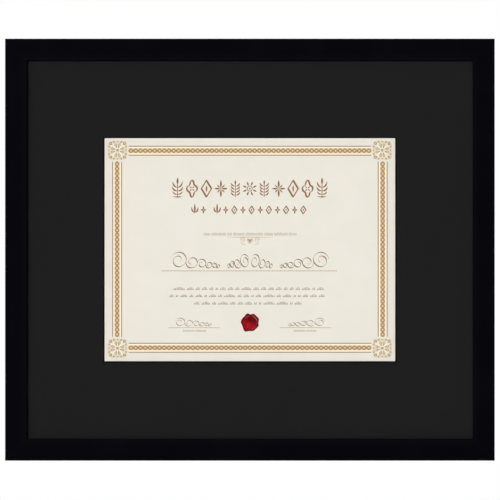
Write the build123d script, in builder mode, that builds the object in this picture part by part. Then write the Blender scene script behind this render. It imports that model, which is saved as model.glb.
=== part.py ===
from build123d import *
from math import cos, radians, sin, sqrt
import os

os.makedirs("parts", exist_ok=True)

# Lengths are in millimetres. The frame faces -Y, with +X to the right and +Z up, and the wall is
# behind it. The origin is the middle notch of the upper hanger, where the nail in the wall bears.

# Certificate and the window that shows it
document_width = 279.4
document_height = 215.9
document_thickness = 0.3
window_overlap = 3.175  # how far the mat covers each edge of the certificate
mat_border = 76.2  # how far the mat runs past each edge of the certificate

# Boards and glazing, from front to back
glazing_thickness = 2.0
glazing_arris = 0.3
mat_thickness = 1.4
tape_thickness = 0.1
mount_thickness = 1.4
filler_thickness = 4.8
back_thickness = 3.2
button_seat = 0.1  # how far the back board lies below the rails' back face
board_clearance = 0.8  # gap from each board's edge to the rabbet

# Moulding
face_width = 20.6
rabbet_width = 7.5
lip_thickness = 5.5
front_edge_round = 0.8
back_edge_round = 0.4

# Wax seal
seal_radius = 8.4
seal_thickness = 1.1
seal_edge_round = 0.4
seal_recess_radius = 5.8
seal_recess_depth = 0.5
seal_recess_offset = 0.7  # how far the pressed recess sits to the right of the wax's middle
seal_drop = 68.3  # seal's middle below the frame's middle
# The wax's outline as its angle in degrees and its radius as a share of the seal's
seal_outline_shares = [
    (0, 0.93),
    (16, 1.03),
    (42, 0.97),
    (67, 1.02),
    (84, 0.88),
    (104, 1.04),
    (142, 0.95),
    (181, 0.98),
    (219, 0.93),
    (243, 1.10),
    (270, 0.95),
    (298, 0.99),
    (325, 0.94),
    (346, 1.03),
]

# Paper hinges on the certificate's upper edge
tape_stem_width = 20.0
tape_stem_length = 14.0  # below the certificate's edge, behind it
tape_bar_width = 40.0
tape_bar_height = 16.0
tape_bar_gap = 2.0  # from the certificate's edge up to the cross bar
tape_inset = 54.7  # from the certificate's side edge to each hinge's middle

# V nails across each mitre
v_nail_leg = 3.1  # how far each leg reaches to the side of the mitre
v_nail_gauge = 0.7
v_nail_depth = 10.0
v_nail_edge_distance = 3.0  # from the outer corner to the first nail, along the mitre
v_nail_spacing = 6.2
v_nail_count = 2

# Turn buttons and their screws
button_reach = 18.0  # from the screw to the far end
button_head_radius = 4.6
button_tip_radius = 3.4
button_thickness = 1.0
button_lift = 0.6  # how far the bent tip rises
button_bend_length = 3.0
button_rib_width = 2.4
button_rib_height = 0.4
button_gap = 0.1  # running gap under the button and under the screw's head
button_bore_clearance = 0.05
screw_radius = 1.5
screw_length = 12.0  # below the head
screw_point_length = 2.5
screw_head_radius = 2.9
screw_head_rim = 0.9
screw_head_height = 1.8
screw_recess_span = 3.4
screw_recess_width = 0.8
screw_recess_depth = 1.1
button_place_share = 0.56  # of half the side, from its middle to each button

# Sawtooth hangers and their nails
hanger_length = 45.0
hanger_height = 9.6
hanger_gauge = 0.8
hanger_lift = 2.2  # from the rail's back to the raised strip
hanger_tab_length = 8.0
hanger_ramp_length = 2.5
hanger_corner_round = 2.0
notch_count = 9
notch_depth = 1.7
notch_width_share = 0.86  # of the notches' pitch
hanger_hole_radius = 1.1
nail_radius = 0.8
nail_length = 12.0
nail_point_length = 1.6
nail_head_radius = 1.9
nail_head_height = 0.8

# Wall bumpers
bumper_radius = 5.0
bumper_height = 4.0
bumper_round = 1.0
bumper_from_corner = 30.0

# Holes for nails and screws are this much wider than the shank, all round
pilot_clearance = 0.03

# Worked out from the sizes above
land_width = face_width - rabbet_width
board_width = document_width + 2 * mat_border
board_height = document_height + 2 * mat_border
outer_width = board_width + 2 * board_clearance + 2 * land_width
outer_height = board_height + 2 * board_clearance + 2 * land_width
window_width = document_width - 2 * window_overlap
window_height = document_height - 2 * window_overlap

# Distances in front of the origin, of each layer's back face
rail_back = hanger_lift + hanger_gauge / 2
back_board_back = rail_back + button_seat
filler_back = back_board_back + back_thickness
mount_back = filler_back + filler_thickness
tape_back = mount_back + mount_thickness
document_back = tape_back + tape_thickness
mat_back = document_back + document_thickness
glazing_back = mat_back + mat_thickness
lip_back = glazing_back + glazing_thickness
rail_front = lip_back + lip_thickness
rail_depth = rail_front - rail_back
rabbet_depth = lip_back - rail_back

# The frame's middle lies this far below the notch that it hangs from
middle_z = -(outer_height / 2 - land_width / 2 - hanger_height / 2 + notch_depth)

front = Vector(0, -1, 0)
wallward = -front

# Each side's outward direction, the distance from the middle to its outer face, and half its length
sides = {
    "top": (Vector(0, 0, 1), outer_height / 2, outer_width / 2),
    "bottom": (Vector(0, 0, -1), outer_height / 2, outer_width / 2),
    "left": (Vector(-1, 0, 0), outer_width / 2, outer_height / 2),
    "right": (Vector(1, 0, 0), outer_width / 2, outer_height / 2),
}
corners = {
    "top_left": (-1, 1),
    "top_right": (1, 1),
    "bottom_left": (-1, -1),
    "bottom_right": (1, -1),
}


def save(builder, name):
    """Labels a finished piece and writes it under its name."""
    builder.part.label = name
    export_step(builder.part, f"parts/{name}.step")


def layer(ahead):
    """The plane parallel to the wall, so far in front of the origin and centred on the frame."""
    return Plane(origin=(0, -ahead, middle_z), x_dir=(1, 0, 0), z_dir=front)


def on_back(x, z, pointing):
    """The plane on the rails' back at x, z from the frame's middle, facing the wall, its x pointing."""
    return Plane(origin=(x, -rail_back, middle_z + z), x_dir=pointing, z_dir=wallward)


def upright(base):
    """The plane through a back plane's x that also holds its normal, for a piece turned about it."""
    return Plane(origin=base.origin, x_dir=base.x_dir, z_dir=base.x_dir.cross(base.z_dir))


def plate(width, height, back, thickness):
    """A plain board of the given size, its back face so far in front of the origin."""
    with BuildPart() as board:
        with BuildSketch(layer(back)):
            Rectangle(width, height)
        extrude(amount=thickness)
    return board


def v_nail_faces(x_sign, z_sign):
    """The V nails of one corner, seen from the back, with their points towards the outer corner."""
    faces = []
    inward = Vector(-x_sign, 0, -z_sign).normalized()
    gauge_on_mitre = v_nail_gauge * sqrt(2)
    for index in range(v_nail_count):
        step = v_nail_edge_distance + index * v_nail_spacing
        origin = Vector(x_sign * outer_width / 2, -rail_back, middle_z + z_sign * outer_height / 2)
        place = Plane(origin=origin + inward * step, x_dir=inward, z_dir=front)
        with BuildSketch(place) as chevron:
            with BuildLine():
                Polyline(
                    (0, 0),
                    (v_nail_leg, v_nail_leg),
                    (v_nail_leg + gauge_on_mitre, v_nail_leg),
                    (gauge_on_mitre, 0),
                    (v_nail_leg + gauge_on_mitre, -v_nail_leg),
                    (v_nail_leg, -v_nail_leg),
                    close=True,
                )
            make_face()
        faces.append(chevron.sketch)
    return faces


def button_places():
    """Each turn button's name and the plane on the rails' back that it turns on, pointing inward."""
    places = {}
    for side, (outward, reach, half_length) in sides.items():
        for sign, upper, across in ((-1, "lower", "left"), (1, "upper", "right")):
            step = sign * button_place_share * half_length
            centre = outward * (reach - land_width / 2)
            if outward.X:
                places[f"{side}_{upper}"] = on_back(centre.X, step, -outward)
            else:
                places[f"{side}_{across}"] = on_back(step, centre.Z, -outward)
    return places


def hanger_places():
    """Each hanger's name and the plane at its middle on the rails' back, pointing away from the teeth."""
    top, left = sides["top"], sides["left"]
    return {
        "landscape": on_back(0, top[1] - land_width / 2, top[0]),
        "portrait": on_back(land_width / 2 - left[1], 0, left[0]),
    }


def hanger_hole_points():
    """The two nail holes of a hanger, as points on its back plane."""
    reach = hanger_length / 2 - hanger_tab_length / 2
    return [(0, -reach), (0, reach)]


screw_planes = button_places()
hanger_planes = hanger_places()

# Rails, each a rabbeted length with a mitre at both ends
for side, (outward, reach, half_length) in sides.items():
    inward = -outward
    along = inward.cross(front)
    section = Plane(
        origin=Vector(0, -rail_back, middle_z) + outward * reach, x_dir=inward, z_dir=along
    )
    with BuildPart() as rail:
        with BuildSketch(section) as profile:
            with BuildLine():
                Polyline(
                    (0, 0),
                    (0, rail_depth),
                    (face_width, rail_depth),
                    (face_width, rabbet_depth),
                    (land_width, rabbet_depth),
                    (land_width, 0),
                    close=True,
                )
            make_face()
            fillet(profile.vertices().group_by(Axis.Y)[-1], front_edge_round)
            fillet(profile.vertices().group_by(Axis.Y)[0].sort_by(Axis.X)[0], back_edge_round)
        extrude(amount=half_length, both=True)
        for end in (-1, 1):
            mitre = Plane(origin=section.origin + along * (end * half_length), z_dir=inward + along * end)
            split(bisect_by=mitre, keep=Keep.BOTTOM)
        for x_sign, z_sign in corners.values():
            if outward.X * x_sign + outward.Z * z_sign > 0:
                for face in v_nail_faces(x_sign, z_sign):
                    extrude(face, amount=v_nail_depth, mode=Mode.SUBTRACT)
        for name, place in screw_planes.items():
            if name.startswith(side):
                with BuildSketch(place):
                    Circle(screw_radius + pilot_clearance)
                extrude(amount=-screw_length, mode=Mode.SUBTRACT)
        for place in hanger_planes.values():
            if place.x_dir == outward:
                with BuildSketch(place):
                    with Locations(*hanger_hole_points()):
                        Circle(nail_radius + pilot_clearance)
                extrude(amount=-nail_length, mode=Mode.SUBTRACT)
    save(rail, f"rail_{side}")

# V nails, in pairs across each mitre
for corner, (x_sign, z_sign) in corners.items():
    with BuildPart() as corner_nails:
        for face in v_nail_faces(x_sign, z_sign):
            extrude(face, amount=v_nail_depth)
    save(corner_nails, f"corner_nails_{corner}")

# Glazing, with its sharp edges taken off
with BuildPart() as glazing:
    with BuildSketch(layer(glazing_back)):
        Rectangle(board_width, board_height)
    extrude(amount=glazing_thickness)
    chamfer(glazing.edges(), glazing_arris)
save(glazing, "glazing")

# Mat, with a window whose bevel opens towards the viewer at 45 degrees
with BuildPart() as mat_board:
    with BuildSketch(layer(mat_back)):
        Rectangle(board_width, board_height)
    extrude(amount=mat_thickness)
    with BuildSketch(layer(mat_back)):
        Rectangle(window_width, window_height)
    with BuildSketch(layer(glazing_back)):
        Rectangle(window_width + 2 * mat_thickness, window_height + 2 * mat_thickness)
    loft(mode=Mode.SUBTRACT)
save(mat_board, "mat_board")

save(plate(document_width, document_height, document_back, document_thickness), "certificate")

# Wax seal, a run of wax with a round recess where the stamp was pressed
with BuildPart() as wax_seal:
    with BuildSketch(layer(mat_back)):
        with BuildLine():
            Spline(
                *(
                    (
                        seal_radius * share * cos(radians(angle)),
                        seal_radius * share * sin(radians(angle)) - seal_drop,
                    )
                    for angle, share in seal_outline_shares
                ),
                periodic=True,
            )
        make_face()
    extrude(amount=seal_thickness)
    fillet(wax_seal.faces().sort_by(Axis.Y)[0].edges(), seal_edge_round)
    with BuildSketch(layer(mat_back + seal_thickness)):
        with Locations((seal_recess_offset, -seal_drop)):
            Circle(seal_recess_radius)
    extrude(amount=-seal_recess_depth, mode=Mode.SUBTRACT)
save(wax_seal, "wax_seal")

# Paper hinges: a stem behind the certificate's upper edge, and a cross bar on the mount board
for side, sign in (("left", -1), ("right", 1)):
    bar_middle = document_height / 2 + tape_bar_gap + tape_bar_height / 2
    stem_height = tape_stem_length + tape_bar_gap + tape_bar_height / 2
    with BuildPart() as hinge_tape:
        with BuildSketch(layer(tape_back)):
            with Locations((sign * (document_width / 2 - tape_inset), bar_middle)):
                Rectangle(tape_bar_width, tape_bar_height)
                Rectangle(tape_stem_width, stem_height, align=(Align.CENTER, Align.MAX))
        extrude(amount=tape_thickness)
    save(hinge_tape, f"hinge_tape_{side}")

save(plate(board_width, board_height, mount_back, mount_thickness), "mount_board")
save(plate(board_width, board_height, filler_back, filler_thickness), "filler_board")
save(plate(board_width, board_height, back_board_back, back_thickness), "back_board")

# Turn buttons: a pressed steel strip with a rib, a bent tip and a hole for its screw
for name, place in screw_planes.items():
    base = place.offset(button_gap)
    lifted = button_thickness + button_lift
    bend_start = button_reach - button_tip_radius - button_bend_length
    bend_end = bend_start + button_bend_length
    with BuildPart() as turn_button:
        with BuildSketch(base):
            Circle(button_head_radius)
            with Locations((button_reach - button_tip_radius, 0)):
                Circle(button_tip_radius)
            make_hull()
        extrude(amount=lifted)
        with BuildSketch(upright(base)):
            with BuildLine():
                Polyline(
                    (-button_head_radius, 0),
                    (bend_start, 0),
                    (bend_end, button_lift),
                    (button_reach, button_lift),
                    (button_reach, lifted),
                    (bend_end, lifted),
                    (bend_start, button_thickness),
                    (-button_head_radius, button_thickness),
                    close=True,
                )
            make_face()
        extrude(amount=button_head_radius, both=True, mode=Mode.INTERSECT)
        with BuildSketch(base.offset(button_thickness)):
            with Locations(((screw_head_radius + bend_start) / 2, 0)):
                SlotOverall(bend_start - screw_head_radius - button_rib_width, button_rib_width)
        extrude(amount=button_rib_height)
        with BuildSketch(base):
            Circle(screw_radius + button_bore_clearance)
        extrude(amount=lifted, mode=Mode.SUBTRACT)
    save(turn_button, f"turn_button_{name}")

# Pan head screws that the turn buttons swing on
for name, place in screw_planes.items():
    under_head = button_thickness + 2 * button_gap
    head_top = under_head + screw_head_height
    with BuildPart() as button_screw:
        with BuildSketch(upright(place)):
            with BuildLine():
                Polyline(
                    (0, head_top),
                    (0, -screw_length),
                    (screw_radius, screw_point_length - screw_length),
                    (screw_radius, under_head),
                    (screw_head_radius, under_head),
                    (screw_head_radius, under_head + screw_head_rim),
                )
                TangentArc(
                    (0, head_top), (screw_head_radius, under_head + screw_head_rim), tangent=(1, 0)
                )
            make_face()
        revolve(axis=Axis(place.origin, place.z_dir))
        with BuildSketch(place.offset(head_top)):
            Rectangle(screw_recess_span, screw_recess_width)
            Rectangle(screw_recess_width, screw_recess_span)
        extrude(amount=-screw_recess_depth, mode=Mode.SUBTRACT)
    save(button_screw, f"button_screw_{name}")

# Sawtooth hangers: a strip nailed down at both ends and raised between, notched along one edge
for name, place in hanger_planes.items():
    tab_end = hanger_length / 2 - hanger_tab_length
    bridge_end = tab_end - hanger_ramp_length
    pitch = 2 * bridge_end / notch_count
    strip_line = [
        (-hanger_length / 2, 0),
        (-tab_end, 0),
        (-bridge_end, hanger_lift),
        (bridge_end, hanger_lift),
        (tab_end, 0),
        (hanger_length / 2, 0),
    ]
    with BuildPart() as hanger:
        with BuildSketch(Plane(origin=place.origin, x_dir=place.y_dir, z_dir=place.x_dir)):
            with BuildLine():
                Polyline(
                    *strip_line,
                    *((run, rise + hanger_gauge) for run, rise in reversed(strip_line)),
                    close=True,
                )
            make_face()
        extrude(amount=hanger_height / 2, both=True)
        fillet(hanger.edges().filter_by(Axis.Y), hanger_corner_round)
        with BuildSketch(place):
            with Locations(*hanger_hole_points()):
                Circle(hanger_hole_radius)
            for index in range(notch_count):
                step = (index - (notch_count - 1) / 2) * pitch
                half_notch = notch_width_share * pitch / 2
                with Locations((-hanger_height / 2, step)):
                    Polygon((0, -half_notch), (notch_depth, 0), (0, half_notch), align=None)
        extrude(amount=hanger_lift + hanger_gauge, mode=Mode.SUBTRACT)
    save(hanger, f"hanger_{name}")

    with BuildPart() as hanger_nails:
        for run, step in hanger_hole_points():
            base = Plane(
                origin=place.from_local_coords((run, step)), x_dir=place.x_dir, z_dir=place.z_dir
            )
            head_top = hanger_gauge + nail_head_height
            with BuildSketch(upright(base)):
                with BuildLine():
                    Polyline(
                        (0, head_top),
                        (0, -nail_length),
                        (nail_radius, nail_point_length - nail_length),
                        (nail_radius, hanger_gauge),
                        (nail_head_radius, hanger_gauge),
                        (nail_head_radius, head_top),
                        close=True,
                    )
                make_face()
            revolve(axis=Axis(base.origin, base.z_dir))
    save(hanger_nails, f"hanger_nails_{name}")

# Bumpers, on the rails above and below, clear of the V nails
for corner, (x_sign, z_sign) in corners.items():
    place = on_back(
        x_sign * (outer_width / 2 - bumper_from_corner),
        z_sign * (outer_height / 2 - land_width / 2),
        (1, 0, 0),
    )
    with BuildPart() as bumper:
        with BuildSketch(place):
            Circle(bumper_radius)
        extrude(amount=bumper_height)
        fillet(bumper.edges().sort_by(Axis.Y)[-1], bumper_round)
    save(bumper, f"bumper_{corner}")
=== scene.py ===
import bpy
import numpy as np
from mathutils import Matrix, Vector


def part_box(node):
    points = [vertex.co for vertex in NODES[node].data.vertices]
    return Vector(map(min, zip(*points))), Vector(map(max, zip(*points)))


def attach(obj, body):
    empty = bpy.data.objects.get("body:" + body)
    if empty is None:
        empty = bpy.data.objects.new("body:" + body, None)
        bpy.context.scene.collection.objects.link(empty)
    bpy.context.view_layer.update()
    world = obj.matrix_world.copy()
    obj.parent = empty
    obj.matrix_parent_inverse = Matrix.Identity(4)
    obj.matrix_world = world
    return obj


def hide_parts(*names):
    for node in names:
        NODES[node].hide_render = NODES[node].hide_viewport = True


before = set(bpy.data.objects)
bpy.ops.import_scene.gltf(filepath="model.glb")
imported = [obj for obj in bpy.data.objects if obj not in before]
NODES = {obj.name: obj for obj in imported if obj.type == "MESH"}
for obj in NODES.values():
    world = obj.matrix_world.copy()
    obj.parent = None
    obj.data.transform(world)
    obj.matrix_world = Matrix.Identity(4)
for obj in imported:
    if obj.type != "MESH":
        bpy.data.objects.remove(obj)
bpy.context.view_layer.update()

MM = 0.001
SIDES = ("top", "bottom", "left", "right")
WHITE = (1.0, 1.0, 1.0, 1.0)

# Places and sizes worked out from the frame, in metres
RAIL_LOW = np.min([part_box(f"rail_{side}")[0] for side in SIDES], axis=0)
RAIL_HIGH = np.max([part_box(f"rail_{side}")[1] for side in SIDES], axis=0)
MIDDLE_X, _, MIDDLE_Z = (RAIL_LOW + RAIL_HIGH) / 2
HALF_WIDTH, _, HALF_HEIGHT = (RAIL_HIGH - RAIL_LOW) / 2
FRAME_FRONT = RAIL_LOW[1]
FACE_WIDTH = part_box("rail_left")[1].x - RAIL_LOW[0]
PAPER_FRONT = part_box("certificate")[0].y


def tone(red, green, blue):
    """A colour given as 0 to 255 on screen, as the linear colour that a socket takes."""
    screen = np.array([red, green, blue]) / 255
    linear = np.where(screen <= 0.04045, screen / 12.92, ((screen + 0.055) / 1.055) ** 2.4)
    return (*linear, 1.0)


class Shading:
    """Short calls that add nodes to one tree. An input that is given a socket, or a node for its
    first output, is linked to it."""

    def __init__(self, tree):
        self.tree = tree

    def feed(self, socket, value):
        value = value.outputs[0] if isinstance(value, bpy.types.Node) else value
        if isinstance(value, bpy.types.NodeSocket):
            self.tree.links.new(value, socket)
        else:
            socket.default_value = value

    def add(self, kind, inputs=(), **settings):
        """A new node. Its inputs are given by name or by place."""
        node = self.tree.nodes.new("ShaderNode" + kind)
        for name, value in settings.items():
            setattr(node, name, value)
        for name, value in dict(inputs).items():
            self.feed(node.inputs[name], value)
        return node

    def math(self, operation, *values):
        return self.add("Math", enumerate(values), operation=operation)

    def plus(self, first, *others):
        for other in others:
            first = self.math("ADD", first, other)
        return first

    def minus(self, first, second):
        return self.math("SUBTRACT", first, second)

    def times(self, first, second):
        return self.math("MULTIPLY", first, second)

    def apart(self, first, second):
        """How far two values are apart."""
        return self.math("ABSOLUTE", self.minus(first, second))

    def length(self, **parts):
        """The length of a vector whose parts are given by axis."""
        vector = self.add("CombineXYZ", parts)
        return self.add("VectorMath", {0: vector}, operation="LENGTH").outputs["Value"]

    def parts(self, vector):
        return self.add("SeparateXYZ", {"Vector": vector}).outputs[:3]

    def rise(self, value, low, high, bottom=0.0, top=1.0):
        """A smooth step from bottom where value is low to top where it is high."""
        span = {"Value": value, "From Min": low, "From Max": high, "To Min": bottom, "To Max": top}
        return self.add("MapRange", span, interpolation_type="SMOOTHSTEP")

    def stretch(self, noise, bottom=0.0, top=1.0):
        """Noise, which seldom leaves the range from 0.3 to 0.7, made to rise from bottom to top."""
        return self.rise(noise, 0.3, 0.7, bottom, top)

    def mix(self, share, first, second):
        """From a first colour to a second. Each is a socket, or red, green and blue as 0 to 255."""
        first, second = (tone(*part) if isinstance(part, tuple) else part for part in (first, second))
        return self.add("Mix", {0: share, 6: first, 7: second}, data_type="RGBA").outputs[2]

    def over(self, base, mask, most, colour):
        """A colour laid over a base where its mask is, with the share most where the mask is full."""
        return self.mix(self.times(mask, most), base, colour)

    def noise(self, place, scale, detail=3.0, roughness=0.5, distortion=0.0):
        names = ("Vector", "Scale", "Detail", "Roughness", "Distortion")
        return self.add("TexNoise", zip(names, (place, scale, detail, roughness, distortion)))

    def bump(self, height, strength, distance):
        inputs = {"Height": height, "Strength": strength, "Distance": distance}
        return self.add("Bump", inputs)


class Effect(Shading):
    """A shader node group that several finishes share, with a vector Place and some numbers as inputs,
    which are named with underscores for spaces."""

    def __init__(self, name, **numbers):
        super().__init__(bpy.data.node_groups.new(name, "ShaderNodeTree"))
        self.socket("Place", "INPUT", "NodeSocketVector")
        for label, value in numbers.items():
            self.socket(label.replace("_", " "), "INPUT").default_value = value
        self.given = self.tree.nodes.new("NodeGroupInput").outputs
        self.result = self.tree.nodes.new("NodeGroupOutput").inputs

    def socket(self, label, way, kind="NodeSocketFloat"):
        return self.tree.interface.new_socket(name=label, in_out=way, socket_type=kind)

    def give(self, label, value):
        """Adds an output with its value."""
        self.socket(label, "OUTPUT")
        self.feed(self.result[label], value)

    def scaled(self, *sizes):
        """Place divided by a size along each axis, so that a pattern of scale 1 has those sizes."""
        size = self.add("CombineXYZ", zip("XYZ", sizes))
        return self.add("VectorMath", {0: self.given["Place"], 1: size}, operation="DIVIDE")

    def cells(self, sizes, *detail):
        """Noise with a size along each axis, then its detail, roughness and distortion."""
        return self.noise(self.scaled(*sizes), 1.0, *detail)


class Finish(Shading):
    """A material with one Principled surface, and the object's own coordinates and normal at hand."""

    def __init__(self, name):
        self.material = bpy.data.materials.new(name)
        self.material.use_nodes = True
        super().__init__(self.material.node_tree)
        self.tree.nodes.clear()
        coordinates = self.add("TexCoord").outputs
        self.place = coordinates["Object"]
        self.normal = coordinates["Normal"]

    def effect(self, group, place=None, **numbers):
        """The outputs of a shared effect, with its numbers given by name, underscores for spaces."""
        inputs = {label.replace("_", " "): value for label, value in numbers.items()}
        inputs["Place"] = self.place if place is None else place
        return self.add("Group", inputs, node_tree=group.tree).outputs

    def turned(self, *degrees):
        """The object's coordinates turned about X, Y and Z."""
        inputs = {"Vector": self.place, "Rotation": np.radians(degrees)}
        return self.add("Mapping", inputs)

    def edges(self, low=0.4, high=0.6):
        """1 on a board's cut edges and 0 on its faces, from how far the normal points along Y."""
        facing = self.math("ABSOLUTE", self.parts(self.normal)[1])
        return self.rise(facing, low, high, 1.0, 0.0)

    def surface(self, shader):
        self.add("OutputMaterial", {"Surface": shader})
        return self.material

    def principled(self, colour, roughness, specular, normal, metallic=0.0):
        inputs = {
            "Base Color": colour,
            "Roughness": roughness,
            "Specular IOR Level": specular,
            "Normal": normal,
            "Metallic": metallic,
        }
        return self.surface(self.add("BsdfPrincipled", inputs))


def make_timber():
    """Straight grain along X: noise drawn out along it for the streaks, and finer noise past a
    threshold for the pores."""
    group = Effect("timber grain", Streak_Length=70 * MM, Streak_Width=1.5 * MM)
    length, width = group.given["Streak Length"], group.given["Streak Width"]
    group.give("Tone", group.stretch(group.cells((length, width, width), 6.0, 0.62, 0.6)))
    short, thin = group.times(length, 0.12), group.times(width, 0.3)
    group.give("Pores", group.rise(group.cells((short, thin, thin), 2.0, 0.4), 0.62, 0.72))
    return group


def make_fibres():
    """Felted paper or board: fine noise for the tooth, drawn-out noise both ways for single fibres,
    and broad noise for the cloudiness of the sheet."""
    group = Effect("paper fibres", Fibre_Size=0.5 * MM)
    size = group.given["Fibre Size"]
    long, broad = group.times(size, 9.0), group.times(size, 60.0)
    group.give("Tooth", group.cells((size, size, size), 4.0, 0.6))
    lying = group.cells((long, size, size), 2.0, 0.5, 1.5)
    standing = group.cells((size, size, long), 2.0, 0.5, 1.5)
    group.give("Strands", group.rise(group.math("MAXIMUM", lying, standing), 0.6, 0.78))
    group.give("Cloud", group.cells((broad, broad, broad), 3.0))
    return group


def make_plating():
    """Plated sheet steel: cells of slightly different grey, drawn lines along X, and pits."""
    group = Effect("plated steel", Grain_Size=0.7 * MM)
    size = group.given["Grain Size"]
    spangle = group.add("TexVoronoi", {"Vector": group.scaled(size, size, size), "Scale": 1.0})
    group.give("Cells", group.parts(spangle.outputs["Color"])[0])
    long, thin = group.times(size, 25.0), group.times(size, 0.25)
    group.give("Lines", group.cells((long, thin, thin), 3.0, 0.6))
    group.give("Pits", group.rise(group.cells((size, size, size), 2.0), 0.68, 0.76))
    return group


def make_scuffs():
    """Handling marks: patches where broad noise passes a threshold, broken up by fine noise."""
    group = Effect("scuffs", Patch_Size=25 * MM, Amount=0.4)
    size = group.given["Patch Size"]
    patch = group.cells((size, size, size), 4.0, 0.6)
    start = group.minus(0.85, group.times(group.given["Amount"], 0.5))
    broad = group.rise(patch, start, group.plus(start, 0.12))
    thin = group.times(size, 0.03)
    fine = group.cells((size, thin, thin), 3.0, 0.6, 0.8)
    group.give("Mask", group.times(broad, group.rise(fine, 0.45, 0.65)))
    return group


# How far from its screw a turn button rubs
RUB_INNER = 5.0 * MM
RUB_OUTER = 11.5 * MM


def make_button_rub():
    """Rings rubbed by the turn buttons. The buttons' screws stand alike in the frame's four quarters,
    so the distance to the nearest is worked out in one quarter, for a top screw and for a side one."""
    group = Effect("button rub")
    x, _, z = group.parts(group.given["Place"])
    out, up = group.apart(x, MIDDLE_X), group.apart(z, MIDDLE_Z)
    distances = []
    for screw in ("button_screw_top_right", "button_screw_right_upper"):
        low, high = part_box(screw)
        spot = (low + high) / 2 - Vector((MIDDLE_X, 0, MIDDLE_Z))
        distances.append(group.length(X=group.minus(out, spot.x), Z=group.minus(up, spot.z)))
    nearest = group.math("MINIMUM", *distances)
    inside = group.rise(nearest, RUB_INNER, RUB_INNER + 0.6 * MM)
    outside = group.rise(nearest, RUB_OUTER, RUB_OUTER + 0.8 * MM, 1.0, 0.0)
    circles = group.add("CombineXYZ", {"X": nearest})
    scratches = group.rise(group.noise(circles, 1 / (0.5 * MM), 2.0), 0.42, 0.62)
    broken = group.rise(group.noise(group.given["Place"], 1 / (9 * MM)), 0.36, 0.6)
    group.give("Mask", group.times(group.times(inside, outside), group.times(scratches, broken)))
    return group


TIMBER = make_timber()
FIBRES = make_fibres()
PLATING = make_plating()
SCUFFS = make_scuffs()
BUTTON_RUB = make_button_rub()

# Finishes

LOW_REFLECTION_IOR = 1.065
INK_PALENESS = 0.28  # the share of white in ink where it has sunk in


def moulding(name, upright):
    """Satin black paint over straight-grained wood, bare on the back. The paint is a little lighter
    along each mitre, and towards the inner edge, where a sheen is painted into its colour. It wraps a ragged
    millimetre onto the back."""
    paint = Finish(name)
    along = paint.turned(0, 90, 0) if upright else paint.place
    grain = paint.effect(TIMBER, along)
    x, _, z = paint.parts(paint.place)
    from_side = paint.minus(HALF_WIDTH, paint.apart(x, MIDDLE_X))
    from_end = paint.minus(HALF_HEIGHT, paint.apart(z, MIDDLE_Z))
    inward = from_side if upright else from_end
    off_mitre = paint.apart(from_side, from_end)
    mitre = paint.rise(off_mitre, 0.25 * MM, 0.7 * MM, 1.0, 0.0)
    # Painted sheen: the black is lighter towards the inner edge
    painted_inner_sheen = paint.rise(inward, 0.6 * FACE_WIDTH, FACE_WIDTH, 0.0, 0.4)
    mottle = paint.rise(paint.noise(paint.place, 1 / (45 * MM), 2.0), 0.45, 0.75, 0.0, 0.3)
    share = paint.plus(painted_inner_sheen, mottle, paint.times(mitre, 0.5), paint.times(grain["Tone"], 0.25))
    scuffs = paint.effect(SCUFFS, along, Patch_Size=30 * MM, Amount=0.25)["Mask"]
    black = paint.mix(share, (2, 2, 6), (9, 9, 14))
    black = paint.over(black, scuffs, 0.25, (20, 20, 23))

    wood = paint.mix(grain["Tone"], (176, 140, 96), (214, 184, 140))
    wood = paint.over(wood, grain["Pores"], 0.7, (132, 98, 62))
    wood = paint.over(wood, paint.effect(BUTTON_RUB)["Mask"], 0.5, (120, 108, 92))
    joint = paint.rise(off_mitre, 0.1 * MM, 0.35 * MM, 0.75, 0.0)
    wood = paint.mix(joint, wood, (70, 50, 32))
    ragged = paint.noise(along, 1 / (6 * MM), 4.0, 0.6)
    edge = paint.plus(inward, paint.times(ragged, -1.6 * MM))
    behind = paint.rise(paint.parts(paint.normal)[1], 0.5, 0.8)
    bare = paint.times(behind, paint.rise(edge, 0.2 * MM, 0.5 * MM))

    satin = paint.rise(grain["Tone"], 0.0, 1.0, 0.42, 0.52)
    roughness = paint.plus(satin, paint.times(bare, 0.3))
    height = paint.plus(grain["Tone"], paint.times(grain["Pores"], -0.8))
    relief = paint.bump(height, paint.plus(0.15, paint.times(bare, 0.5)), 0.1 * MM)
    return paint.principled(paint.mix(bare, black, wood), roughness, 0.008, relief)


def clear_glazing():
    """Clear low-reflection glazing: mirrors a little by Fresnel and lets the rest through, with
    faint wipe marks in its gloss."""
    pane = Finish("clear_glazing")
    wipes = pane.effect(SCUFFS, Patch_Size=90 * MM, Amount=0.5)["Mask"]
    fine = pane.rise(pane.noise(pane.place, 1 / (2 * MM), 2.0), 0.0, 1.0, 0.015, 0.03)
    gloss = pane.plus(pane.times(wipes, 0.05), fine)
    through = pane.add("BsdfTransparent", {"Color": WHITE})
    mirror = pane.add("BsdfGlossy", {"Color": WHITE, "Roughness": gloss})
    share = pane.add("Fresnel", {"IOR": LOW_REFLECTION_IOR})
    return pane.surface(pane.add("MixShader", {0: share, 1: through, 2: mirror}))


def black_mat():
    """Black mat board: a matte toothed face, and the denser black core on the window's bevel."""
    mat = Finish("black_mat")
    fibres = mat.effect(FIBRES, Fibre_Size=0.45 * MM)
    core = mat.effect(FIBRES, Fibre_Size=0.18 * MM)
    face = mat.mix(mat.rise(fibres["Tooth"], 0.35, 0.65), (29, 29, 29), (33, 33, 33))
    face = mat.over(face, fibres["Strands"], 0.4, (39, 39, 39))
    face = mat.mix(mat.stretch(fibres["Cloud"], 0.0, 0.2), face, (28, 28, 28))
    cut = mat.mix(core["Tooth"], (1, 1, 1), (5, 5, 5))
    colour = mat.mix(mat.edges(0.8, 0.9), face, cut)
    relief = mat.bump(fibres["Tooth"], 0.35, 0.05 * MM)
    return mat.principled(colour, mat.stretch(fibres["Tooth"], 0.85, 0.95), 0.02, relief)


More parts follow.
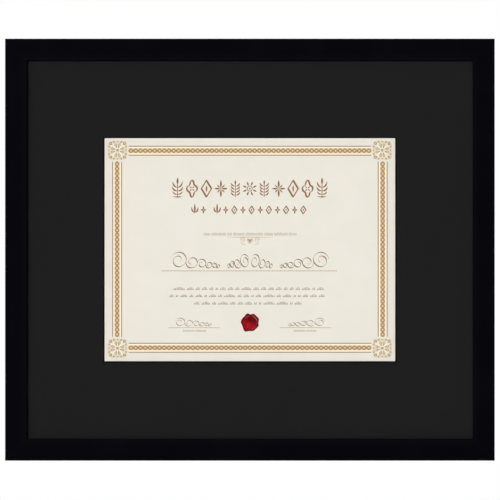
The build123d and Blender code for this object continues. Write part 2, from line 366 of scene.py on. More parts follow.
def sheet_stock(name, fibre_size, dark, light, fleck, relief=0.2):
    """Paper or board of one make: cloudy between two tones, with its fibres showing as flecks."""
    stock = Finish(name)
    fibres = stock.effect(FIBRES, Fibre_Size=fibre_size)
    body = stock.mix(stock.stretch(fibres["Cloud"]), dark, light)
    body = stock.mix(stock.rise(fibres["Tooth"], 0.3, 0.75, 0.0, 0.35), body, light)
    body = stock.over(body, fibres["Strands"], 0.5, fleck)
    tooth = stock.bump(fibres["Tooth"], relief, 0.04 * MM)
    return stock.principled(body, stock.stretch(fibres["Tooth"], 0.78, 0.92), 0.2, tooth)


def back_fibreboard():
    """Brown hardboard: a smooth face with dark and pale fibres, paler cut edges, handling marks, and
    the rings that the turn buttons rub."""
    board = Finish("back_fibreboard")
    fine = board.effect(FIBRES, Fibre_Size=0.35 * MM)
    coarse = board.effect(FIBRES, Fibre_Size=1.1 * MM)
    scuffs = board.effect(SCUFFS, Patch_Size=40 * MM, Amount=0.35)["Mask"]
    rub = board.effect(BUTTON_RUB)["Mask"]
    face = board.mix(board.stretch(coarse["Cloud"]), (131, 94, 60), (140, 102, 66))
    face = board.mix(board.rise(fine["Tooth"], 0.35, 0.7, 0.0, 0.5), face, (158, 120, 80))
    face = board.over(face, coarse["Strands"], 0.55, (94, 63, 38))
    face = board.over(face, fine["Strands"], 0.45, (184, 148, 106))
    face = board.over(face, scuffs, 0.35, (176, 142, 104))
    face = board.over(face, rub, 0.6, (92, 78, 62))
    colour = board.mix(board.edges(), face, (168, 132, 92))
    roughness = board.minus(board.stretch(fine["Tooth"], 0.5, 0.68), board.times(rub, 0.15))
    return board.principled(colour, roughness, 0.3, board.bump(fine["Tooth"], 0.25, 0.05 * MM))


def foam_board():
    """White foam board: smooth paper faces, and a foam of fine cells on the cut edges."""
    board = Finish("foam_board")
    fibres = board.effect(FIBRES, Fibre_Size=0.4 * MM)
    cells = board.add("TexVoronoi", {"Vector": board.place, "Scale": 1 / (0.5 * MM)})
    edge = board.edges()
    face = board.mix(fibres["Tooth"], (238, 238, 234), (246, 246, 243))
    foam = board.mix(board.rise(cells, 0.1, 0.5), (246, 246, 244), (222, 222, 219))
    relief = board.bump(cells, board.times(edge, 0.5), 0.1 * MM)
    roughness = board.stretch(fibres["Tooth"], 0.6, 0.8)
    return board.principled(board.mix(edge, face, foam), roughness, 0.2, relief)


def plated_steel(name, dark, light, roughness, grain_size=0.7 * MM, upright=False, tarnish=0.3):
    """Plated steel, its drawn lines along X or upright, with spangled cells, dull patches and pits."""
    steel = Finish(name)
    along = steel.turned(0, 90, 0) if upright else steel.place
    plating = steel.effect(PLATING, along, Grain_Size=grain_size)
    dull = steel.effect(SCUFFS, along, Patch_Size=7 * MM, Amount=0.55)["Mask"]
    colour = steel.mix(plating["Cells"], dark, light)
    colour = steel.over(colour, dull, tarnish, (122, 118, 108))
    colour = steel.over(colour, plating["Pits"], 0.5, (96, 94, 90))
    sheen = steel.stretch(plating["Lines"], roughness - 0.06, roughness + 0.08)
    sheen = steel.plus(sheen, steel.times(dull, 0.15))
    relief = steel.bump(plating["Lines"], 0.12, 0.03 * MM)
    return steel.principled(colour, sheen, 0.5, relief, metallic=1.0)


def bumper_rubber():
    """Moulded black rubber with a fine pebbled skin and a little dust."""
    rubber = Finish("bumper_rubber")
    pebbles = rubber.noise(rubber.place, 1 / (0.6 * MM))
    dust = rubber.effect(SCUFFS, Patch_Size=5 * MM, Amount=0.6)["Mask"]
    skin = rubber.mix(rubber.stretch(pebbles), (12, 12, 13), (24, 24, 25))
    colour = rubber.over(skin, dust, 0.35, (74, 72, 68))
    relief = rubber.bump(pebbles, 0.3, 0.08 * MM)
    return rubber.principled(colour, rubber.stretch(pebbles, 0.55, 0.75), 0.35, relief)


def printed_ink(name, colour):
    """Matte ink of one colour. It sinks unevenly into the paper's fibres and pales there."""
    ink = Finish(name)
    fibres = ink.effect(FIBRES, Fibre_Size=0.3 * MM)
    pale = ink.mix(INK_PALENESS, colour, (255, 255, 255))
    body = ink.over(colour, ink.rise(fibres["Tooth"], 0.5, 0.75), 0.35, pale)
    relief = ink.bump(fibres["Tooth"], 0.15, 0.02 * MM)
    return ink.principled(body, ink.stretch(fibres["Tooth"], 0.7, 0.85), 0.2, relief)


def dress_frame():
    """Gives every CAD node that shows as it is the finish beside the start of its name."""
    cream = (235, 231, 219), (237, 233, 223), (231, 226, 213)
    white = (230, 230, 225), (238, 238, 234), (220, 218, 210)
    ivory = (232, 228, 216), (240, 237, 228), (214, 207, 190)
    zinc = (122, 125, 131), (156, 159, 163)
    bright = (130, 132, 135), (164, 165, 167)
    screw = (116, 118, 123), (144, 146, 150)
    nail = (122, 122, 126), (150, 150, 152)
    finishes = (
        (moulding("black_moulding_lying", False), "rail_top", "rail_bottom"),
        (moulding("black_moulding_upright", True), "rail_left", "rail_right"),
        (clear_glazing(), "glazing"),
        (black_mat(), "mat_board"),
        (sheet_stock("certificate_paper", 0.35 * MM, *cream), "certificate"),
        (sheet_stock("white_board", 0.5 * MM, *white), "mount_board"),
        (sheet_stock("paper_tape", 0.25 * MM, *ivory, relief=0.35), "hinge_tape"),
        (foam_board(), "filler_board"),
        (back_fibreboard(), "back_board"),
        (plated_steel("zinc_plated_steel_lying", *zinc, 0.32), "turn_button_left", "turn_button_right"),
        (
            plated_steel("zinc_plated_steel_upright", *zinc, 0.32, upright=True),
            "turn_button_top",
            "turn_button_bottom",
        ),
        (plated_steel("hanger_steel_lying", *bright, 0.3), "hanger_landscape"),
        (plated_steel("hanger_steel_upright", *bright, 0.3, upright=True), "hanger_portrait"),
        (plated_steel("screw_steel", *screw, 0.28, 0.4 * MM), "button_screw"),
        (plated_steel("nail_steel", *nail, 0.36, 0.3 * MM, tarnish=0.6), "hanger_nails", "corner_nails"),
        (bumper_rubber(), "bumper"),
    )
    for material, *starts in finishes:
        for name, node in NODES.items():
            if name.startswith(tuple(starts)):
                if not node.material_slots:
                    node.data.materials.append(material)
                for slot in node.material_slots:
                    slot.material = material


# Pieces


def show(name, data):
    """A new object with the given data, in the scene."""
    holder = bpy.data.objects.new(name, data)
    bpy.context.scene.collection.objects.link(holder)
    return holder


def add_mesh(name, points, faces, material, smooth=False):
    """A finished object at the origin, its place in its mesh."""
    mesh = bpy.data.meshes.new(name)
    mesh.from_pydata(points, [], faces)
    mesh.materials.append(material)
    mesh.polygons.foreach_set("use_smooth", np.full(len(mesh.polygons), smooth))
    mesh.update()
    return show(name, mesh)


def round_faces(rings, spokes, backed=False):
    """Faces for rings of points from the inside out: quads between the rings, triangles to a middle
    point that comes after them, and where it is backed, triangles from the last ring to a second."""
    index = np.arange(rings * spokes).reshape(rings, spokes)
    beside = np.roll(index, -1, axis=1)
    quads = np.stack([index[1:], beside[1:], beside[:-1], index[:-1]], axis=2).reshape(-1, 4)
    middle = np.full(spokes, rings * spokes)
    faces = quads.tolist() + np.stack([middle, index[0], beside[0]], axis=1).tolist()
    if backed:
        faces += np.stack([middle + 1, beside[-1], index[-1]], axis=1).tolist()
    return faces


def on_circle(angle, radius=1.0):
    """Points at the given angles, at one radius or each at its own."""
    return np.stack([radius * np.cos(angle), radius * np.sin(angle)], axis=-1)


# Wax seal

RECESS_RADIUS = 5.6 * MM
RECESS_OFFSET = 0.6 * MM  # to the right of the wax's middle
RECESS_FLOOR_SHARE = 0.5  # of the wax's thickness
RECESS_DISH = 0.12  # how much lower the floor is at its edge, as a share of its height
RECESS_RINGS, RIM_RINGS = 15, 19
WAX_CREST, WAX_LUMPS = 0.93, 0.07  # the rim's height, and the lumps on it, as shares of the thickness
WAX_RIPPLE, WAX_RIPPLE_RUN = 0.035, 26  # the height of the folds across the rim, and how fast they run
WAX_FALL = 0.3  # how far across the rim it starts to fall
WAX_SAG = 0.2 * MM  # how far the wax ran down past the solid's middle
WAX_SPREAD = 1.02  # its radius against the solid's
SEAL_ANGLES = 192
# Where highlights are painted on the wax's crest: the middle and the half span of each in degrees, and its
# strength
PAINTED_WAX_SHINES = ((42, 40, 0.85), (122, 22, 0.45), (-62, 26, 0.45))
# The wax's outline as its angle in degrees and its radius as a share of the seal's
SEAL_OUTLINE_SHARES = (
    (0, 0.93), (20, 1.05), (44, 1.01), (69, 1.03), (85, 0.89), (105, 1.03), (131, 0.90), (160, 0.97),
    (178, 0.99), (203, 0.90), (221, 0.97), (237, 1.11), (263, 0.94), (294, 0.99), (318, 0.96), (338, 1.01),
)


def smooth_ring(angles, table):
    """A closed smooth curve through (angle, value) pairs, read at the given angles: the cubic between
    two neighbours whose slopes there are those from the neighbours one further out."""
    knots, values = np.array(table).T
    knots = np.concatenate([knots[-2:] - 360, knots, knots[:2] + 360])
    values = np.concatenate([values[-2:], values, values[:2]])
    slopes = np.gradient(values, knots)
    index = np.clip(np.searchsorted(knots, angles, side="right") - 1, 0, len(knots) - 2)
    gap = knots[index + 1] - knots[index]
    t = (angles - knots[index]) / gap
    start, end = values[index], values[index + 1]
    first, last = slopes[index] * gap, slopes[index + 1] * gap
    square, cube = t**2, t**3
    return (
        (2 * cube - 3 * square + 1) * start
        + (cube - 2 * square + t) * first
        + (3 * square - 2 * cube) * end
        + (cube - square) * last
    )


def smooth_step(value, low, high):
    share = np.clip((value - low) / (high - low), 0, 1)
    return share * share * (3 - 2 * share)


def sealing_wax(middle_x, middle_z):
    """Red sealing wax, with light and shade painted into its colour. Painted shade deepens it towards its
    rim's outer edge and towards the upper right of the pressed recess and of the rim, painted light
    brightens it at the lower left, and painted highlights lie on the rim's crest."""
    wax = Finish("red_wax")
    x, _, z = wax.parts(wax.place)
    right = wax.minus(x, middle_x + RECESS_OFFSET)
    up = wax.minus(z, middle_z)
    from_recess = wax.length(X=right, Z=up)
    cloud = wax.minus(wax.noise(wax.place, 1 / (3 * MM)), 0.5)
    # Painted light and shade: the wax darkens along this slope towards the upper right and brightens towards
    # the lower left, with a little noise
    slope = wax.plus(wax.times(up, 0.85), wax.times(right, 0.35), wax.times(cloud, 2.5 * MM))
    # The recess's floor, from painted light at the lower left to painted shade at the upper right
    floor = wax.mix(wax.rise(slope, -4.4 * MM, 3.4 * MM), (168, 20, 33), (84, 5, 8))
    # The rim, with gentler painted light and shade the same way
    rim = wax.mix(wax.rise(slope, -7 * MM, 8 * MM), (160, 17, 31), (122, 8, 22))
    out = wax.add("Attribute", attribute_name="rim_share").outputs["Fac"]
    # Painted highlights: pale pink laid along the rim's crest, each towards its own direction from the
    # recess
    crest = wax.times(wax.rise(out, 0.02, 0.16), wax.rise(out, 0.24, 0.5, 1.0, 0.0))
    for degrees, reach, strength in PAINTED_WAX_SHINES:
        heading = np.radians(degrees)
        aim = wax.plus(wax.times(right, np.cos(heading)), wax.times(up, np.sin(heading)))
        facing = wax.math("DIVIDE", aim, from_recess)
        end, full = np.cos(np.radians([reach, 0.4 * reach]))
        painted_shine = wax.times(crest, wax.rise(facing, end, full, 0.0, strength))
        rim = wax.mix(painted_shine, rim, (196, 84, 96))
    # Painted shade: the rim darkens towards its outer edge, where it falls to the paper
    rim = wax.mix(wax.rise(out, 0.28, 0.62), rim, (102, 4, 12))
    inside = wax.rise(from_recess, RECESS_RADIUS - 0.5 * MM, RECESS_RADIUS + 0.1 * MM, 1.0, 0.0)
    fine = wax.noise(wax.place, 1 / (0.8 * MM))
    relief = wax.bump(fine, wax.rise(inside, 0.0, 1.0, 0.12, 0.04), 0.1 * MM)
    return wax.principled(wax.mix(inside, rim, floor), wax.stretch(fine, 0.26, 0.42), 0.012, relief)


def make_wax_seal():
    """The seal is worked out on rays from the recess's middle to the wax's outline. Along each ray
    come the recess's floor as circles, its wall, then the rim, which bulges and falls to the paper in
    a quarter ellipse. Waves round the rim swell with the outline's lobes. A flat disc closes it."""
    low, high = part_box("wax_seal")
    thickness = high.y - low.y
    degrees = np.arange(SEAL_ANGLES) * 360 / SEAL_ANGLES
    edge = on_circle(np.radians(degrees), smooth_ring(degrees, SEAL_OUTLINE_SHARES))
    radius = WAX_SPREAD * (high.x - low.x) / np.ptp(edge[:, 0])
    middle = np.array([MIDDLE_X, (low.z + high.z) / 2 - WAX_SAG])
    hub = middle + np.array([RECESS_OFFSET, 0.0])
    ray = middle + edge * radius - hub
    reach = np.linalg.norm(ray, axis=1)
    heading = np.arctan2(ray[:, 1], ray[:, 0])

    floor_steps = np.linspace(0, 1, RECESS_RINGS + 1)[1:, None]
    rim_steps = np.sin(np.linspace(0, 1, RIM_RINGS + 1)[1:, None] * np.pi / 2)
    floor_radii = floor_steps * RECESS_RADIUS * np.ones(SEAL_ANGLES)
    rim_radii = RECESS_RADIUS + rim_steps * (reach - RECESS_RADIUS)
    radii = np.concatenate([floor_radii, rim_radii])
    across = np.clip((radii - RECESS_RADIUS) / (reach - RECESS_RADIUS), 0, 1)

    lumps = 0.5 * np.sin(5 * heading + 0.6) + 0.3 * np.sin(9 * heading + 2.0) + 0.2 * np.sin(14 * heading)
    crest = WAX_CREST + WAX_LUMPS * lumps
    floor = RECESS_FLOOR_SHARE * (1 - RECESS_DISH * (radii / RECESS_RADIUS) ** 2)
    wall = smooth_step(radii, RECESS_RADIUS - 0.9 * MM, RECESS_RADIUS + 0.35 * MM)
    folds = np.sin(3 * heading + WAX_RIPPLE_RUN * across) * np.sin(np.pi * across)
    fall = np.sqrt(1 - smooth_step(across, WAX_FALL, 1.0) ** 2)
    height = (floor * (1 - wall) + (crest + WAX_RIPPLE * folds) * wall) * fall
    height = np.clip(height, 0, 1) * thickness

    flat = hub + on_circle(heading, radii)
    rings = np.stack([flat[..., 0], high.y - height, flat[..., 1]], axis=2).reshape(-1, 3)
    poles = [(hub[0], high.y - RECESS_FLOOR_SHARE * thickness, hub[1]), (hub[0], high.y, hub[1])]
    faces = round_faces(len(radii), SEAL_ANGLES, backed=True)
    wax = sealing_wax(*middle)
    seal = add_mesh("wax_seal_sculpt", np.concatenate([rings, poles]), faces, wax, smooth=True)
    rim_share = seal.data.attributes.new("rim_share", "FLOAT", "POINT")
    rim_share.data.foreach_set("value", np.append(across.ravel(), [0.0, 1.0]))
    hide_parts("wax_seal")
    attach(seal, "root")


# Print on the certificate. Its places and sizes are in millimetres on the page, from the middle of the
# window, and its ink stands a hair proud of the paper

INK_LIFT = 0.03
TINT_LIFT = 0.012
BRAID_GROUND_LIFT = 1.5 * TINT_LIFT
BRAID_OVER = 0.25 * INK_LIFT  # how far a strand rises where it crosses over the other
LEAVES_LIFT = 0.7 * INK_LIFT
INK_ROOT = 0.02  # how far the ink reaches into the paper
HAIR = 0.04  # the narrowest a strip gets at its tips


def directions(path, closed):
    """Which way a path runs at each point: the difference of the points beside it."""
    if closed:
        return np.roll(path, -1, axis=-2) - np.roll(path, 1, axis=-2)
    return np.gradient(path, axis=-2)


class Ink:
    """Ink of one colour. Strips are laid on the page one after another, then made one closed mesh."""

    def __init__(self):
        self.points, self.faces, self.total = [], [], 0

    def strip(self, path, width, lift=INK_LIFT, closed=False):
        """Lays a strip along each path of shape (..., points, 2). The strip's edges lie half its width
        to each side of the path, and its section is a rectangle from inside the paper to its lift in
        front."""
        path = np.asarray(path, float)
        count = path.shape[-2]
        width = np.broadcast_to(width, path.shape[:-1]).reshape(-1, count, 1)
        lift = np.broadcast_to(lift, path.shape[:-1]).reshape(-1, count)
        path = path.reshape(-1, count, 2)
        along = directions(path, closed)
        along /= np.linalg.norm(along, axis=2, keepdims=True)
        across = along[..., ::-1] * (-1, 1) * np.maximum(width, HAIR) / 2
        flat = np.stack([path + across, path - across, path - across, path + across], axis=2)
        root = np.full_like(lift, -INK_ROOT)
        proud = np.stack([lift, lift, root, root], axis=2)
        x, z = MIDDLE_X + flat[..., 0] * MM, MIDDLE_Z + flat[..., 1] * MM
        corners = np.stack([x, PAPER_FRONT - proud * MM, z], axis=3)
        index = np.arange(proud.size).reshape(proud.shape) + self.total
        here, there = (index, np.roll(index, -1, axis=1)) if closed else (index[:, :-1], index[:, 1:])
        walls = np.stack([here, np.roll(here, -1, 2), np.roll(there, -1, 2), there], axis=3)
        self.faces.append(walls.reshape(-1, 4))
        if not closed:
            self.faces += [index[:, 0, ::-1], index[:, -1]]
        self.points.append(corners.reshape(-1, 3))
        self.total += proud.size

    def stamp(self, motif, spots=((0, 0),), half=1.0, weight=1.0, lift=INK_LIFT):
        """Prints a motif, whose strokes are in shares of its half height, at each spot on the page. Its
        strokes' widths are scaled by the weight."""
        for path, width, closed in motif:
            path = np.asarray(path) * half
            spread = np.asarray(spots, float).reshape(-1, *(1,) * (path.ndim - 1), 2)
            self.strip(path + spread, np.asarray(width) * weight * half, lift, closed)

    def lay(self, name, ink, *colour):
        """Makes the gathered strips one piece, in an ink of its own name and colour."""
        points, faces = np.concatenate(self.points), np.concatenate(self.faces)
        piece = add_mesh(name, points, faces, printed_ink(ink, colour))
        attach(piece, "root")


# Strokes, each a path, its width at each point, and whether it is closed

LEAF_POINTS, CURL_POINTS = 11, 26


def leaf(start, bend, end, width):
    """A quadratic Bezier curve that leaves start and arrives at end by way of bend. It swells to its
    width in the middle and ends in points."""
    s = np.linspace(0, 1, LEAF_POINTS)[:, None]
    path = (1 - s) ** 2 * np.array(start) + 2 * s * (1 - s) * np.array(bend) + s**2 * np.array(end)
    return path, width * np.sin(np.linspace(0, np.pi, LEAF_POINTS)) ** 0.8, False


def both_sides(stroke, flip=(-1, 1)):
    """A stroke and its mirror image in the upright axis."""
    path, width, closed = stroke
    return np.stack([path, path * flip]), width, closed


def above_and_below(stroke):
    """A stroke and its mirror image in the level axis."""
    return both_sides(stroke, flip=(1, -1))


def round_about(stroke, count, first=0.0):
    """Copies of a stroke, or of a pair of strokes, turned evenly about the middle."""
    path, width, closed = stroke
    angles = np.radians(first + np.arange(count) * 360 / count)
    turns = np.stack([np.cos(angles), -np.sin(angles), np.sin(angles), np.cos(angles)], axis=1)
    turned = np.einsum("kij,...nj->k...ni", turns.reshape(-1, 2, 2), path)
    return turned.reshape(-1, *turned.shape[-2:]), width, closed


def ring(middle, radius, width, count=20):
    """A circle as a closed stroke."""
    angle = np.linspace(0, 2 * np.pi, count, endpoint=False)
    return np.array(middle) + on_circle(angle, radius), width, True


def curl(middle, radius, turns, width, first=180.0):
    """A spiral wound in to a quarter of its radius by so many turns, its width falling with it."""
    s = np.linspace(0, 1, CURL_POINTS)
    path = np.array(middle) + on_circle(np.radians(first + 360 * turns * s), radius * (1 - 0.75 * s))
    return path, width * (1 - 0.4 * s), False


def nib(path, thin, thick, slant=35.0, contrast=1.0, closed=False):
    """A broad nib's width along a path: widest where the path crosses the nib's slant squarely. The
    sine of the angle between them is raised to the contrast."""
    along = directions(path, closed)
    heading = np.arctan2(along[..., 1], along[..., 0]) - np.radians(slant)
    return thin + (thick - thin) * np.abs(np.sin(heading)) ** contrast


def outline(radius_of, stretch, thin, thick, count=72):
    """A closed nib stroke round the middle, its radius a function of the angle, then stretched."""
    angle = np.linspace(0, 2 * np.pi, count, endpoint=False)
    path = on_circle(angle, radius_of(angle)) * stretch
    return path, nib(path, thin, thick, closed=True), True


def diamond(angle):
    """A rhombus's radius: 1 on the axes, and 1 / (|cos| + |sin|) between them."""
    return 1 / (np.abs(np.cos(angle)) + np.abs(np.sin(angle)))


def motifs():
    """Printers' ornaments, in shares of their half height."""
    palmette = [
        ([(0, -1), (0, 0.4)], 0.1, False),
        leaf((0, 0.3), (0, 0.6), (0, 1), 0.26),
        both_sides(leaf((0, 0.0), (0.42, 0.0), (0.52, 0.62), 0.2)),
        both_sides(leaf((0, -0.36), (0.42, -0.42), (0.56, 0.08), 0.2)),
        both_sides(leaf((0, -0.7), (0.36, -0.78), (0.5, -0.4), 0.16)),
        leaf((-0.5, -0.9), (0, -1.1), (0.5, -0.9), 0.14),
    ]
    quatrefoil = [
        outline(lambda a: 0.82 + 0.18 * np.cos(4 * a), (0.62, 1.0), 0.1, 0.26),
        round_about(leaf((0.06, 0), (0.2, 0), (0.4, 0), 0.15), 4, 45),
    ]
    lozenge = [
        outline(diamond, (0.6, 1.0), 0.1, 0.26),
        leaf((0, -0.4), (0, 0), (0, 0.4), 0.24),
    ]
    star = [
        above_and_below(leaf((0, 0.12), (0, 0.5), (0, 1.04), 0.28)),
        both_sides(leaf((0.12, 0), (0.4, 0), (0.8, 0), 0.26)),
        round_about(leaf((0.14, 0), (0.35, 0), (0.66, 0), 0.18), 4, 45),
        ring((0, 0), 0.09, 0.07, 16),
    ]
    wheat = [([(0, -1), (0, 0.5)], 0.1, False), leaf((0, 0.45), (0, 0.7), (0, 1.04), 0.24)]
    for height in (-0.78, -0.42, -0.06, 0.3):
        grain = leaf((0.03, height), (0.42, height), (0.54, height + 0.42), 0.2)
        wheat.append(both_sides(grain))
    rosette = [
        outline(lambda a: 0.3 + 0.03 * np.cos(8 * a), (1.0, 1.0), 0.09, 0.09, 48),
        ring((0, 0), 0.07, 0.1, 16),
        round_about(leaf((0.38, 0), (0.62, 0), (0.9, 0), 0.23), 8, 22.5),
    ]
    return palmette, quatrefoil, lozenge, star, wheat, rosette


def small_motifs():
    """Plainer ornaments for the smaller row, in shares of their half height."""
    sprig = [
        leaf((0, -1), (0, 0), (0, 1), 0.3),
        both_sides(leaf((0.05, -0.7), (0.62, -0.6), (0.6, 0.35), 0.26)),
    ]
    gem = [outline(diamond, (0.68, 1.0), 0.17, 0.27), leaf((0, -0.3), (0, 0), (0, 0.3), 0.26)]
    flower = [
        above_and_below(leaf((0, 0.1), (0, 0.5), (0, 1), 0.32)),
        both_sides(leaf((0.1, 0), (0.4, 0), (0.72, 0), 0.3)),
        round_about(leaf((0.12, 0), (0.25, 0), (0.45, 0), 0.16), 4, 45),
    ]
    return sprig, gem, flower


# Border, in millimetres on the page

BORDER_RISE = 0.42  # how far the border's middle lies above the window's
STRIP_REACH = (114.0, 82.3)  # half the length of the strips along the top and along the sides
STRIP_PLACE = (92.6, 124.8)  # from the border's middle to those strips
LINE_OFFSET = 4.19
LINE_WIDTH = 0.85
BRAID_WIDTH = 4.8
BRAID_PITCH = 4.48  # from one crossing to the next
BRAID_STRAND = 1.14
BRAID_SWING = 1.76  # how far each strand's middle would swing if its points weren't rounded
BRAID_POINTS = 0.995  # how sharp the points are: 1 for a zigzag
BRAID_STEPS = 12  # from one crossing to the next
CORNER_HALF = 9.2
CORNER_PLACE = (124.4, 93.0)


def turn_page(path, side):
    """A path beside the top edge, turned about the border's middle to lie beside another edge."""
    across, up = np.moveaxis(np.asarray(path), -1, 0)
    turned = {"top": (across, up), "right": (up, -across), "bottom": (-across, -up), "left": (-up, across)}
    return np.stack(turned[side], axis=-1) + (0, BORDER_RISE)


def make_border():
    """Each strip has a tint, a line along both edges, and a braid of two strands, which are zigzags
    with rounded points, half a turn apart: the arcsine of a sine a little under 1. A strand rises over
    the other at every second crossing."""
    lines, tint, fill, braid = Ink(), Ink(), Ink(), Ink()
    for side in SIDES:
        lying = side in ("top", "bottom")
        reach, place = (pair[0 if lying else 1] for pair in (STRIP_REACH, STRIP_PLACE))
        straight = np.array([(-reach, place), (reach, place)])
        tint.strip(turn_page(straight, side), 2 * LINE_OFFSET, TINT_LIFT)
        fill.strip(turn_page(straight, side), BRAID_WIDTH, BRAID_GROUND_LIFT)
        for offset in (-LINE_OFFSET, LINE_OFFSET):
            lines.strip(turn_page(straight + (0, offset), side), LINE_WIDTH)
        crossings = round(2 * reach / BRAID_PITCH)
        t = np.linspace(0, crossings, BRAID_STEPS * crossings + 1)
        wave = BRAID_SWING * 2 / np.pi * np.arcsin(BRAID_POINTS * np.sin(np.pi * t))
        over = BRAID_OVER * np.cos(np.pi * t)
        run = reach * (2 * t / crossings - 1)
        for sign in (-1, 1):
            strand = np.stack([run, place + sign * wave], axis=1)
            braid.strip(turn_page(strand, side), BRAID_STRAND, INK_LIFT + sign * over)
    lines.lay("border_lines", "border_line_ink", 160, 126, 90)
    tint.lay("border_tint", "border_tint_ink", 255, 244, 221)
    fill.lay("braid_ground", "braid_ground_ink", 233, 206, 167)
    braid.lay("border_braid", "braid_ink", 165, 135, 98)


def make_corners():
    """Corner rosettes, in shares of their half height: a tinted ground, pale leaves along the diagonals
    and the axes, and dark curls, rings and dots between them. The ground is a strip as wide at share s
    of its length as a rounded square is there, (1 - s^6)^(1/6), and its edge is scalloped by |cos|."""
    spots = np.array([(x, z) for x in (-1, 1) for z in (-1, 1)]) * CORNER_PLACE + (0, BORDER_RISE)
    s = np.linspace(-1, 1, 97)
    across = 2 * (1 - s**6) ** (1 / 6) * (0.94 + 0.05 * np.abs(np.cos(3.5 * np.pi * s)))
    ground_strokes = [(np.stack([0.99 * s, np.zeros_like(s)], axis=1), across, False)]
    pale_strokes = [
        round_about(leaf((0.14, 0), (0.45, 0), (0.84, 0), 0.15), 4, 45),
        round_about(leaf((0.16, 0), (0.4, 0), (0.72, 0), 0.1), 4),
        round_about(above_and_below(leaf((0.42, 0.3), (0.66, 0.34), (0.78, 0.62), 0.1)), 4),
    ]
    dark_strokes = [
        ring((0, 0), 0.08, 0.07),
        round_about(ring((0.98, 0), 0.11, 0.075), 4, 45),
        round_about(above_and_below(curl((0.52, 0.2), 0.17, 1.3, 0.055)), 4),
        round_about(above_and_below(curl((0.84, 0.36), 0.11, 1.1, 0.05, 0)), 4),
        round_about(leaf((0.82, -0.1), (0.94, 0), (0.82, 0.1), 0.07), 4),
        round_about(leaf((0.3, -0.07), (0.36, 0), (0.3, 0.07), 0.06), 8, 22.5),
    ]
    layers = (
        ("corner_ground", ground_strokes, TINT_LIFT, (232, 217, 191)),
        ("corner_leaves", pale_strokes, LEAVES_LIFT, (250, 243, 224)),
        ("corner_rosettes", dark_strokes, INK_LIFT, (148, 127, 96)),
    )
    for name, strokes, lift, colour in layers:
        ink = Ink()
        ink.stamp(strokes, spots, CORNER_HALF, lift=lift)
        ink.lay(name, f"{name}_ink", *colour)


# Headings, as rows of ornaments: where each row's first and last stand, and the row's foot and head

TITLE_ENDS = (-68.0, 67.8)
TITLE_FOOT, TITLE_HEAD, TITLE_TALL_HEAD = 49.5, 65.2, 67.8
TITLE_WEIGHT, SUBTITLE_WEIGHT = 0.8, 1.1
SUBTITLE_STARTS = (-51.8, -30.8)
SUBTITLE_COUNTS = (2, 11)
SUBTITLE_PITCH = 8.1
SUBTITLE_FOOT, SUBTITLE_HEAD, SUBTITLE_TALL_HEAD = 33.7, 41.0, 43.4


def stand(ink, motif, x, foot, head, weight):
    """Prints a motif between the heights of its foot and its head."""
    ink.stamp(motif, [(x, (foot + head) / 2)], (head - foot) / 2, weight)


def make_headings():
    """A row of eleven ornaments that reads alike from both ends, the outer two taller, and a smaller
    row of two and eleven below it."""
    *first_half, rosette = motifs()
    order = [*first_half, rosette, *first_half[::-1]]
    title = Ink()
    for place, (x, motif) in enumerate(zip(np.linspace(*TITLE_ENDS, len(order)), order)):
        head = TITLE_TALL_HEAD if place in (0, len(order) - 1) else TITLE_HEAD
        stand(title, motif, x, TITLE_FOOT, head, TITLE_WEIGHT)
    title.lay("title_ornaments", "title_ink", 142, 97, 46)

    sprig, gem, flower = small_motifs()
    subtitle = Ink()
    for start, count in zip(SUBTITLE_STARTS, SUBTITLE_COUNTS):
        stand(subtitle, sprig, start, SUBTITLE_FOOT, SUBTITLE_TALL_HEAD, SUBTITLE_WEIGHT)
        for place in range(1, count):
            x = start + place * SUBTITLE_PITCH
            stand(subtitle, (gem, flower)[place % 2], x, SUBTITLE_FOOT, SUBTITLE_HEAD, SUBTITLE_WEIGHT)
    subtitle.lay("subtitle_ornaments", "subtitle_ink", 138, 96, 50)


FAN_MIDDLE = np.array([0.0, 11.2])
FAN_DEGREES = (-150, -126, -104, -90, -76, -54, -30)
FAN_LEAF = 3.2  # how far a level leaf would reach, and how much further one straight down does
FAN_LINE = [(-21.5, 11.7), (-8, 11.7), (8, 11.7), (21.5, 11.7)]
FAN_LINE_WIDTHS = [0.3, 0.9, 0.9, 0.3]


def make_fan():
    """The small ornament under the headings: a line with a fan of leaves and a scroll at each side."""
    strokes = [(FAN_LINE, FAN_LINE_WIDTHS, False)]
    for degrees in FAN_DEGREES:
        heading = on_circle(np.radians(degrees))
        reaches = (1.2, 2.5, FAN_LEAF - FAN_LEAF * heading[1] ** 3)
        strokes.append(leaf(*(FAN_MIDDLE + reach * heading for reach in reaches), 1.2))
    strokes.append(both_sides(curl((6.6, 9.1), 2.3, 1.4, 0.85, 0)))
    strokes.append(both_sides(leaf((3.2, 5.2), (7.5, 4.4), (9.2, 7.8), 0.8)))
    ink = Ink()
    ink.stamp(strokes)
    ink.lay("fan_ornament", "fan_ink", 214, 196, 172)


# Pen scrolls, loops and ticks, in millimetres on the page

PEN_LEAN = 0.22
ARCH_POINTS, SPIRAL_POINTS = 25, 50
FIRST_SPIRAL_TURNS, SPIRAL_TURNS = 1.15, 0.85
SPIRAL_DEPTH, SPIRAL_EASE = 0.74, 0.9  # the share of its radius that a spiral winds in, and how evenly
PEN, FINE_PEN = (0.23, 0.92, 55.0, 2.0), (0.15, 0.6, 55.0, 2.0)  # thin, thick, slant and contrast
